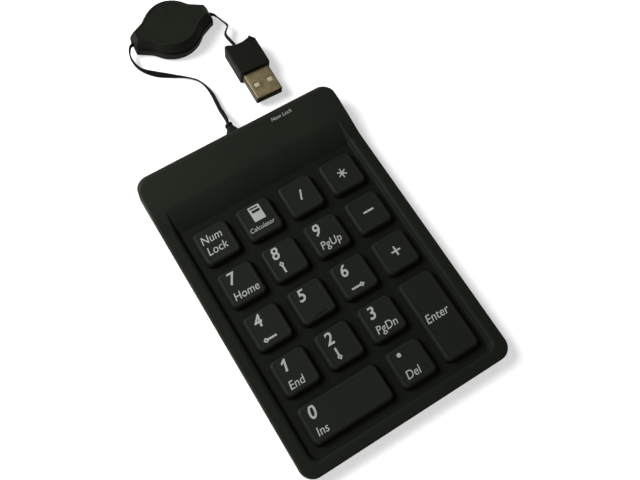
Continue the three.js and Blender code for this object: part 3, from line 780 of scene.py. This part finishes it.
def make_nose():
    rear = KEYPAD["rear"]
    stations = [   # (y, x, z, half width, half height)
        (60.85, 0.4, 5.4, 4.3, 2.3), (60.9, 0.4, 5.4, 4.6, 2.6), (62.85, 0.4, 5.4, 4.6, 2.6),
        (62.86, 0.4, 5.4, 3.2, 2.0), (rear - 0.3, 0.4, 5.4, 3.4, 2.2), (rear - 0.02, 0.4, 5.4, 4.7, 3.2),
        (rear + 0.12, 0.42, 5.4, 4.3, 2.9), (rear + 0.45, 0.45, 5.4, 3.75, 2.6),
        (rear + 1.0, 0.55, 5.35, 3.15, 2.4), (rear + 2.0, 0.7, 5.25, 2.45, 2.15),
        (rear + 3.2, 0.85, 5.12, 1.8, 1.9), (69.0, 1.0, 5.0, 1.3, 1.7),
        (69.02, 1.0, 5.0, 1.12, 1.5), (69.2, 1.0, 5.0, 1.12, 1.5), (69.22, 1.0, 5.0, 1.5, 1.85),
        (69.35, 1.0, 5.0, 1.62, 1.95), (69.95, 1.0, 5.0, 1.62, 1.95), (70.1, 1.0, 5.0, 1.5, 1.82),
    ]
    return weigh_normals(lofted("cable_nose", [rounded_section(*row) for row in stations], sharp=45))


nose = make_nose()


# ---- the cord reel
def reel_outline(inset=0.0):
    """A round body that runs with hollow curves into two blunt ears, drawn in by the inset."""
    steps = 60
    radius, end = REEL["radius"] - inset, EAR["end"] - inset
    neck, soft, reach = 5.5, 0.9, 2.5   # where the ears' straight sides may start to meet the round body

    def half_width(x):
        body = math.sqrt(max(radius ** 2 - x ** 2, 0.0))
        if abs(x) < neck:
            return body
        ear = EAR["half"] + (EAR["end"] - abs(x)) * EAR["slope"] - inset * math.hypot(1, EAR["slope"])
        ease = soft * smoothstep((abs(x) - neck) / reach)
        return (ear + body + math.sqrt((ear - body) ** 2 + ease ** 2)) / 2

    round_off = max(0.8 - 0.7 * inset, 0.15)
    inner_end = end - round_off
    side = []
    for step in range(steps + 1):
        x = inner_end * math.cos(math.pi * step / steps)
        side.append((x, half_width(x)))
    end_half = half_width(inner_end) - round_off
    corner = [(inner_end + dx, end_half + dy) for dx, dy in (polar(round_off, a) for a in (22.5, 45, 67.5))]
    right_end = [(end, 0.0), (end, end_half), *corner]
    left_end = [(-x, y) for x, y in reversed(right_end[1:])]
    upper = [*right_end, *side, *left_end]
    return [*upper, *((-x, -y) for x, y in upper)]


def ear_channel_cutter():
    """The slots that let the ribbon out through both ears: a mouth, and a lead from the winding's rim."""
    slot = (1.3, 3.0)
    mouth = placed(EAR_BEND + 1.2, 0, CORD_IN_REEL_Z)
    lead = placed(EAR_BEND, 0, CORD_IN_REEL_Z, 90 + LEAD_ANGLE) @ placed(5.5, 0)
    bm = bmesh.new()
    for turn in (0, 180):
        for length, place in ((4.4, mouth), (13.0, lead)):
            bmesh.ops.create_cube(bm, size=1, matrix=placed(0, 0, turn=turn) @ place
                                  @ Matrix.Diagonal((length, *slot, 1)))
    return finish_mesh("channel_cutter", bm, reel_place)


def cut(obj, cutter):
    """Takes the cutter's shape out of the object."""
    assign(obj.modifiers.new("cut", "BOOLEAN"), operation="DIFFERENCE", solver="EXACT", use_self=True,
           object=cutter)
    bpy.context.view_layer.update()
    mesh = bpy.data.meshes.new_from_object(obj.evaluated_get(bpy.context.evaluated_depsgraph_get()))
    obj.modifiers.clear()
    old, obj.data = obj.data, mesh
    bpy.data.meshes.remove(old)
    mesh.name = obj.name


def circle_for(radius):
    """A circle with one point in the direction of each point of the reel's outline."""
    return [tuple(Vector(p).normalized() * radius) for p in reel_outline()]


def make_reel_lower():
    """The case's lower half: its outside, the cavity, and the post that the spool turns on."""
    split, cavity, floor = REEL["split"], 11.5, 1.2
    side = [(2.6, 0.0), (1.7, 0.0), (1.05, 0.18), (0.5, 0.55), (0.18, 1.0), (0.04, 1.45), (0.0, 1.9),
            (0.0, split - 0.75), (0.06, split - 0.62), (0.2, split - 0.56), (0.75, split - 0.5),
            (0.75, split)]
    bm = bmesh.new()
    loft(bm, [*stacked(reel_outline, side),
              *stacked(circle_for, [(cavity, split), (cavity, floor + 0.3), (cavity - 0.3, floor)])])
    lathe(bm, [(0, 1.0), (2.6, 1.0), (2.6, 1.25), (2.2, 1.6), (2.2, split - 0.5), (2.0, split - 0.3),
               (0, split - 0.3)], 28)
    return finish_mesh("reel_case_bottom", bm, reel_place, sharp=40)


def make_reel_upper():
    """The upper half, with a low lip round its top and a parting groove below."""
    split, top, roof = REEL["split"] + 0.1, REEL["top"], 9.0
    side = [(0.75, split), (0.75, split + 0.02), (0.4, split + 0.08), (0.28, split + 0.16),
            (0.28, split + 0.35), (0.36, split + 0.6), (0.72, 7.0), (1.16, 8.1), (1.5, 8.85), (1.7, 9.3),
            (1.8, 9.58), (1.9, 9.77), (2.05, 9.88), (2.25, top), (2.5, top), (2.65, top - 0.06),
            (2.8, top - 0.15), (3.3, top - 0.18)]
    inside = [(9.6, roof), (10.0, roof - 0.25), (10.2, 6.9), (11.3, 6.6), (11.5, 6.4), (11.5, split)]
    bm = bmesh.new()
    loft(bm, [*stacked(circle_for, inside), *stacked(reel_outline, side)])
    lathe(bm, [(0, split + 0.3), (2.0, split + 0.3), (2.2, split + 0.5), (2.2, roof - 0.4),
               (2.6, roof + 0.1), (0, roof + 0.1)], 28)
    return finish_mesh("reel_case_top", bm, reel_place, sharp=40)


reel_lower = make_reel_lower()
reel_upper = make_reel_upper()
channels = ear_channel_cutter()
for case in (reel_lower, reel_upper):
    cut(case, channels)
    weigh_normals(case)
bpy.data.objects.remove(channels)


# ---- the plug
plug_place = placed(PLUG["x"], PLUG["y"], turn=-PLUG["turn"])


def bezier(start, control, end, steps):
    """A quadratic curve's points, without its start."""
    return [tuple(lerp(lerp(a, b, t), lerp(b, c, t), t) for a, b, c in zip(start, control, end))
            for t in ((i + 1) / steps for i in range(steps))]


def plug_outline():
    """The moulding from above: square front corners and a hollow scooped between two prongs at the back."""
    w, l = PLUG["half"], PLUG["length"]
    points = [(0, 0), (w - 0.9, 0)]
    for control, end, steps, *straight in (
        ((w, 0), (w, 0.9), 3, (w, 4), (w, 9), (w, l - 2.4), (w - 1.5, l - 0.3)),
        ((w - 1.75, l + 0.05), (w - 2.1, l), 2),
        ((w - 2.4, l - 0.05), (w - 2.55, l - 0.6), 2),
        ((0.9, l - 1.7), (-1.8, l - 1.45), 6),
        ((-3.4, l - 1.3), (-4.6, l - 0.5), 4, (-w + 0.9, l - 0.15)),
        ((-w, l - 0.2), (-w, l - 1.1), 3, (-w, 9), (-w, 4), (-w, 0.9)),
        ((-w, 0), (-w + 0.9, 0), 3),
    ):
        points += bezier(points[-1], control, end, steps) + straight
    return points


def make_plug_body():
    """The moulding, with a pocket in its front for the metal shell."""
    edge = [(0.6, 0.0), (0.33, 0.05), (0.14, 0.17), (0.03, 0.37), (0.0, 0.6)]
    crown = [(inset, PLUG["height"] - z) for inset, z in reversed(edge)]
    outline = plug_outline()
    body = lofted("plug_moulding", stacked(lambda inset: moved_in(outline, inset), [*edge, *crown]),
                  plug_place, sharp=40)
    play = 0.15
    pocket = rect_about(0, 0, SHELL["width"] / 2 + play, SHELL["height"] / 2 + play, 0.7, 4)
    pocket_cutter = lofted("pocket_cutter", [[(x, y, PLUG_Z + z) for x, z in pocket]
                                             for y in (-1.0, SHELL["back"] + 0.2)], plug_place)
    cut(body, pocket_cutter)
    bpy.data.objects.remove(pocket_cutter)
    return weigh_normals(body)


def make_plug_shell():
    """The folded metal shell: a sheet round a rectangle, with two windows above and two below."""
    half_x, half_z = SHELL["width"] / 2 - SHELL["wall"] / 2, SHELL["height"] / 2 - SHELL["wall"] / 2
    x0, x1 = (SHELL_WINDOW["x"] + side * SHELL_WINDOW["half_x"] for side in (-1, 1))
    y0, y1 = (SHELL_WINDOW["y"] + side * SHELL_WINDOW["half_y"] for side in (-1, 1))
    across = [x1, x0, -x0, -x1]
    radius = 0.45
    corner = [(half_x - radius + dx, half_z - radius + dz)
              for dx, dz in (polar(radius, degrees) for degrees in (0, 30, 60, 90))]
    top = [*corner, *((x, half_z) for x in across), *((-x, z) for x, z in reversed(corner))]
    around = [*top, *((-x, -z) for x, z in top)]
    tuck = 0.06   # how far the front edge is drawn in
    front, back = SHELL["front"], SHELL["back"]
    stations = [(front, tuck), (front + 0.25, 0), (y0, 0), (y1, 0), (0, 0), (back, 0)]
    bm = bmesh.new()
    skin_between(bm, [ring(bm, [(x * (1 - drawn / half_x), y, PLUG_Z + z * (1 - drawn / half_z))
                                for x, z in around]) for y, drawn in stations])

    def in_window(face):
        middle = face.calc_center_median()
        flat = abs(abs(middle.z - PLUG_Z) - half_z) < 0.01
        return flat and x0 < abs(middle.x) < x1 and y0 < middle.y < y1

    bmesh.ops.delete(bm, geom=[f for f in bm.faces if in_window(f)], context="FACES")
    shell = finish_mesh("plug_metal_shell", bm, plug_place, sharp=40)
    assign(shell.modifiers.new("wall", "SOLIDIFY"), thickness=SHELL["wall"] * MM, offset=0)
    assign(shell.modifiers.new("soften", "BEVEL"), width=0.06 * MM, segments=2, limit_method="ANGLE",
           angle_limit=math.radians(50))
    return weigh_normals(shell)


def block(x0, x1, y0, y1, z0, z1, round_off=0.12):
    """Sections of a box with its upright edges and its top edge rounded off."""
    return stacked(lambda inset: rounded_rect(x0 + inset, x1 - inset, y0 + inset, y1 - inset, 0.15, 2),
                   [(0.0, z0), (0.0, z1 - round_off), (round_off * 0.3, z1 - round_off * 0.3),
                    (round_off, z1)])


TONGUE_TOP = PLUG_Z + SHELL["height"] / 2 - SHELL["wall"] - 0.1
TONGUE_UNDER = TONGUE_TOP - 1.8


def make_plug_tongue():
    """The block that fills the shell behind, and the tongue in front, above the contacts."""
    half = SHELL["width"] / 2 - SHELL["wall"] - 0.1
    low = PLUG_Z - SHELL["height"] / 2 + SHELL["wall"] + 0.1
    bm = bmesh.new()
    loft(bm, block(-half, half, SHELL["front"] + 0.8, -0.9, TONGUE_UNDER, TONGUE_TOP))
    loft(bm, block(-half, half, -1.0, SHELL["back"] - 0.1, low, TONGUE_TOP))
    return finish_mesh("plug_tongue_block", bm, plug_place, sharp=40)


plug_body = make_plug_body()
plug_shell = make_plug_shell()
plug_tongue = make_plug_tongue()


# Four gold strips along the tongue's lower face; the outer two reach further forward.
contacts = [
    lofted(f"plug_gold_strip_{number}",
           block(x - 0.5, x + 0.5, front, -1.0, TONGUE_UNDER - 0.12, TONGUE_UNDER + 0.02, 0.03),
           plug_place, sharp=30)
    for number, (x, front) in enumerate(((-3.5, -11.0), (-1.0, -10.1), (1.0, -10.1), (3.5, -11.0)), 1)
]


# ---- materials
def shader(name):
    """A new material, its principled shader and its nodes."""
    material = bpy.data.materials.new(name)
    material.use_nodes = True
    return material, material.node_tree.nodes["Principled BSDF"], material.node_tree


def add(tree, kind, **values):
    node = tree.nodes.new(f"ShaderNode{kind}")
    for key, value in values.items():
        if key in node.inputs:
            node.inputs[key].default_value = value
        else:
            setattr(node, key, value)
    return node


def axes(tree, space):
    """The X, Y and Z of a kind of coordinate."""
    node = add(tree, "SeparateXYZ")
    tree.links.new(add(tree, "TexCoord").outputs[space], node.inputs["Vector"])
    return node.outputs


def noise(tree, scale, detail=4.0, roughness=0.55, stretch=None):
    """Noise in the object's own space, with the scale in features per millimetre."""
    where = add(tree, "TexCoord").outputs["Object"]
    if stretch is not None:
        mapping = add(tree, "Mapping")
        mapping.inputs["Scale"].default_value = stretch
        tree.links.new(where, mapping.inputs["Vector"])
        where = mapping.outputs["Vector"]
    node = add(tree, "TexNoise", Scale=scale / MM, Detail=detail, Roughness=roughness)
    tree.links.new(where, node.inputs["Vector"])
    return node.outputs["Fac"]


def ranged(tree, value, low, high, from_low=0.3, from_high=0.7):
    node = add(tree, "MapRange")
    for key, number in (("From Min", from_low), ("From Max", from_high), ("To Min", low), ("To Max", high)):
        node.inputs[key].default_value = number
    tree.links.new(value, node.inputs["Value"])
    return node.outputs["Result"]


def mixed(tree, value, a, b, start=0.3, end=0.7, most=1.0):
    """From colour a to colour b, each a socket or three numbers, as the value goes from start to end."""
    node = add(tree, "Mix", data_type="RGBA")
    tree.links.new(ranged(tree, value, 0.0, most, start, end), node.inputs["Factor"])
    sockets = [i for i in node.inputs if i.type == "RGBA"]
    for socket, colour in zip(sockets, (a, b)):
        if isinstance(colour, bpy.types.NodeSocket):
            tree.links.new(colour, socket)
        else:
            socket.default_value = (*colour, 1.0)
    return next(o for o in node.outputs if o.type == "RGBA")


def shade(colour, factor):
    return tuple(min(c * factor, 1.0) for c in colour)


def bumped(tree, bsdf, *layers):
    """Bump layers of (height socket, distance in mm, strength), one over the other."""
    normal = None
    for height, distance, strength in layers:
        node = add(tree, "Bump", Distance=distance * MM, Strength=strength)
        tree.links.new(height, node.inputs["Height"])
        if normal is not None:
            tree.links.new(normal, node.inputs["Normal"])
        normal = node.outputs["Normal"]
    tree.links.new(normal, bsdf.inputs["Normal"])


def dress(tree, bsdf, base, roughness, *layers, **values):
    """Links a shader's colour, roughness and bump layers, and sets its plain values."""
    tree.links.new(base, bsdf.inputs["Base Color"])
    if roughness is not None:
        tree.links.new(roughness, bsdf.inputs["Roughness"])
    bumped(tree, bsdf, *layers)
    for key, value in values.items():
        bsdf.inputs[key.replace("_", " ")].default_value = value


def silicone(name, colour, rough=(0.5, 0.62), dust=0.35, grain=0.02, painted_shade_span=None, specular=0.12):
    """Matt moulded rubber: a fine texture, cloudy handling marks and a little pale dust. Where painted_shade_span
    gives two heights in mm, painted shade makes the colour darker and the gloss duller from the upper one down to
    the lower one."""
    material, bsdf, tree = shader(name)
    clouds = noise(tree, 0.06, 3.0)
    fine = noise(tree, 9.0, 5.0, 0.65)
    specks = noise(tree, 2.4, 2.0, 0.5)
    tone = mixed(tree, clouds, shade(colour, 0.84), shade(colour, 1.16))
    grained = mixed(tree, fine, tone, shade(colour, 1.12))
    dust_and_painted_shade = mixed(tree, specks, grained, shade(colour, 3.2), 0.72, 0.8, dust)
    if painted_shade_span is not None:
        # Painted shade: the colour darkens towards the lower height, for the shade in the recess, on the key sides
        # and between the keys.
        above = ranged(tree, axes(tree, "Object")["Z"], 0.0, 1.0, painted_shade_span[0] * MM, painted_shade_span[1] * MM)
        dust_and_painted_shade = mixed(tree, above, shade(colour, 0.7), dust_and_painted_shade, 0.0, 1.0)
        tree.links.new(ranged(tree, above, specular * 0.45, specular, 0.0, 1.0),
                       bsdf.inputs["Specular IOR Level"])
    dress(tree, bsdf, dust_and_painted_shade, ranged(tree, clouds, *rough),
          (fine, grain, 0.5), (noise(tree, 0.35, 2.0), 0.08, 0.12),
          Specular_IOR_Level=specular, Specular_Tint=(0.93, 1.0, 0.84, 1.0))
    return material


def moulded(name, colour, rough=(0.4, 0.52), grain=0.03, scale=4.0, specular=0.12, scuffs=0.5):
    """Hard moulded plastic: a spark texture, uneven gloss and faint scuffs along one direction."""
    material, bsdf, tree = shader(name)
    texture = noise(tree, scale, 4.0, 0.6)
    clouds = noise(tree, 0.12, 3.0)
    scratches = noise(tree, 1.6, 3.0, 0.5, (0.12, 1.0, 1.0))
    tone = mixed(tree, clouds, shade(colour, 0.86), shade(colour, 1.14))
    worn = mixed(tree, scratches, tone, shade(colour, 1.9), 0.66, 0.78, scuffs)
    dress(tree, bsdf, worn, ranged(tree, texture, *rough), (texture, grain, 0.5), (scratches, 0.01, 0.3),
          Specular_IOR_Level=specular, Specular_Tint=(0.95, 1.0, 0.88, 1.0))
    return material


def plated(name, colour, tarnish, rough=(0.28, 0.45), sides=0.45):
    """Plated sheet metal with drawn lines, cloudy tarnish and small spots, with painted shade on its upright sides
    and rounded edges.
    """
    material, bsdf, tree = shader(name)
    lines = noise(tree, 6.0, 4.0, 0.6, (1.0, 0.08, 1.0))
    clouds = noise(tree, 0.35, 4.0)
    spots = noise(tree, 1.8, 3.0)
    base = mixed(tree, clouds, colour, tarnish)
    spotted = mixed(tree, spots, base, shade(tarnish, 0.55), 0.64, 0.74, 0.6)
    # Painted shade: faces that are not flat on top, the upright sides and rounded edges, are painted darker, which
    # shades them and hides their bright reflections.
    side_shaded = mixed(tree, axes(tree, "Normal")["Z"], shade(tarnish, sides), spotted, 0.85, 0.99)
    dress(tree, bsdf, side_shaded, ranged(tree, lines, *rough),
          (lines, 0.015, 0.35), (clouds, 0.05, 0.15), Metallic=1.0)
    return material


def film(name, colour, tracks):
    """Polyester film with printed lines across it."""
    material, bsdf, tree = shader(name)
    lines = add(tree, "TexWave", Scale=0.16 / MM, Distortion=1.5)
    tree.links.new(add(tree, "TexCoord").outputs["Object"], lines.inputs["Vector"])
    haze = noise(tree, 0.2, 3.0)
    tone = mixed(tree, haze, colour, shade(colour, 0.88))
    printed = mixed(tree, lines.outputs["Fac"], tone, tracks, 0.9, 0.94)
    dress(tree, bsdf, printed, ranged(tree, haze, 0.12, 0.25),
          (lines.outputs["Fac"], 0.02, 0.2), (haze, 0.05, 0.1))
    return material


MATERIALS = {
    # The skin and the keys carry painted shade, darker from the upper height given down to the lower one.
    "skin": silicone("moulded_skin", (0.0036, 0.0042, 0.0028), rough=(0.56, 0.7), painted_shade_span=(5.0, 9.5)),
    "key": silicone("moulded_keys", (0.0024, 0.0028, 0.002), rough=(0.6, 0.76), painted_shade_span=(5.0, 7.8)),
    "base": moulded("base_plastic", (0.012, 0.013, 0.012), scale=5.0),
    "film": film("clear_film", (0.42, 0.47, 0.45), (0.12, 0.13, 0.13)),
    "spacer": film("milky_film", (0.62, 0.65, 0.63), (0.5, 0.53, 0.52)),
    "board": moulded("solder_mask", (0.012, 0.09, 0.03), rough=(0.25, 0.4), grain=0.05, scale=0.9),
    "resin": moulded("poured_resin", (0.006, 0.006, 0.007), rough=(0.15, 0.3), grain=0.05, scale=0.8),
    "steel": plated("plated_steel", (0.6, 0.6, 0.6), (0.42, 0.41, 0.4)),
    "white_plastic": moulded("natural_plastic", (0.23, 0.22, 0.15), rough=(0.3, 0.45), scuffs=0.2),
    "cord": silicone("soft_cord", (0.0022, 0.0024, 0.0021), rough=(0.62, 0.78), dust=0.2, grain=0.012,
                     specular=0.04),
    "reel": moulded("reel_plastic", (0.0044, 0.005, 0.0034), rough=(0.52, 0.68), scale=3.0, specular=0.06),
    "plug_moulding": moulded("plug_plastic", (0.0026, 0.003, 0.002), rough=(0.56, 0.72), scale=3.5,
                             # The nickel's sides value sets how dark the painted shade on its upright sides and
                             # edges is.
                             specular=0.08),
    "nickel": plated("dull_nickel", (0.225, 0.188, 0.11), (0.13, 0.105, 0.052), rough=(0.46, 0.62),
                     sides=0.3),
    "gold": plated("gold_plate", (0.78, 0.52, 0.2), (0.6, 0.38, 0.14)),
}
for wire, wire_colour in (("red", (0.45, 0.015, 0.01)), ("white", (0.72, 0.72, 0.68)),
                          ("green", (0.02, 0.18, 0.045)), ("black", (0.01, 0.01, 0.01))):
    MATERIALS[f"wire_{wire}"] = moulded(f"{wire}_wire", wire_colour, grain=0.02, scale=1.5)


def printed_ink():
    """White print with a slightly uneven tone and worn pinholes."""
    material, bsdf, tree = shader("white_print")
    uneven = noise(tree, 1.2, 3.0)
    fine = noise(tree, 7.0, 4.0, 0.6)
    tone = mixed(tree, uneven, (0.195, 0.2, 0.187), (0.165, 0.17, 0.158))
    worn = mixed(tree, fine, tone, (0.08, 0.085, 0.078), 0.7, 0.8, 0.6)
    dress(tree, bsdf, worn, ranged(tree, uneven, 0.4, 0.55), (fine, 0.01, 0.3))
    return material


ink = printed_ink()


def paint(obj, material):
    obj.data.materials.clear()
    obj.data.materials.append(material)


def coat(obj, slot_name, material=None):
    paint(obj, material or MATERIALS[slot_name])


def settle(obj, slot_name, body="root", nodes=(), material=None):
    """Gives a piece its material and its body, and hides the CAD nodes that it stands for."""
    coat(obj, slot_name, material)
    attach(obj, body)
    if nodes:
        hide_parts(*nodes)


for obj, slot_name, node_name in (
    (skin, "skin", "top_cover"), (base, "base", "base_cover"), (nose, "skin", "strain_relief"),
    (reel_lower, "reel", "reel_lower_case"), (reel_upper, "reel", "reel_upper_case"),
    (plug_body, "plug_moulding", "plug_body"), (plug_shell, "nickel", "plug_shell"),
    (plug_tongue, "white_plastic", "plug_tongue"),
    *((strip, "gold", f"plug_contact_{number}") for number, strip in enumerate(contacts, 1)),
    (keypad_cord, "cord", "keypad_cord"), (plug_cord, "cord", "plug_cord"),
):
    settle(obj, slot_name, nodes=[node_name])
settle(header_label, "key", material=ink)
settle(winding, "cord", "spool_body", ["wound_cord"])

for key in KEYS:
    cap, post = caps[key["name"]]
    body = f"key_{key['name']}_body"
    settle(post, "key", body)
    settle(legends[key["name"]], "key", body, material=ink)
    coat(cap, "key")
    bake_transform(cap)
    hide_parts(f"key_{key['name']}")
settle(home_bar, "key", "key_5_body")

# The CAD nodes that stay are the small parts inside, which get finished materials too.
for row in frame["record"]["subparts"]:
    node = frame["nodes"][row["node"]]
    if not node.hide_render:
        paint(node, MATERIALS[row["material_slot"]])


# ---- floor and light
def make_floor():
    bm = bmesh.new()
    bmesh.ops.create_grid(bm, x_segments=2, y_segments=2, size=6000)
    floor = finish_mesh("floor", bm, placed(0, 0, -0.05))
    material, bsdf, tree = shader("pale_floor")
    paper = noise(tree, 0.5, 4.0)
    tone = mixed(tree, paper, (0.42, 0.42, 0.42), (0.4, 0.4, 0.4))
    dress(tree, bsdf, tone, None, (paper, 0.05, 0.1), Roughness=0.8, Specular_IOR_Level=0.1,
          Emission_Color=(1, 1, 1, 1), Emission_Strength=0.5)
    floor.data.materials.append(material)


def soft_light(name, place, size, power, aim=(0, 20, 0)):
    """A square area light, its place and size in millimetres."""
    data = assign(bpy.data.lights.new(name, "AREA"), shape="SQUARE", size=size * MM, energy=power)
    light = linked(name, data)
    light.location = Vector(place) * MM
    light.rotation_euler = (Vector(aim) - Vector(place)).to_track_quat("-Z", "Y").to_euler()


make_floor()
soft_light("rear_left_light", (-450, 410, 560), 430, 17.0)
soft_light("left_light", (-620, -250, 520), 380, 1.2)
soft_light("front_light", (-150, -720, 620), 450, 2.2)

world = bpy.data.worlds.new("studio")
world.use_nodes = True
sky = world.node_tree
background = sky.nodes["Background"]
background.inputs["Color"].default_value = (1, 1, 1, 1)
# The sky is dim overhead and pale near the horizon, like a studio's white walls.
sky.links.new(ranged(sky, axes(sky, "Generated")["Z"], 0.85, 0.12, 0.02, 0.3),
              background.inputs["Strength"])
scene.world = world
scene.view_settings.view_transform = "Standard"
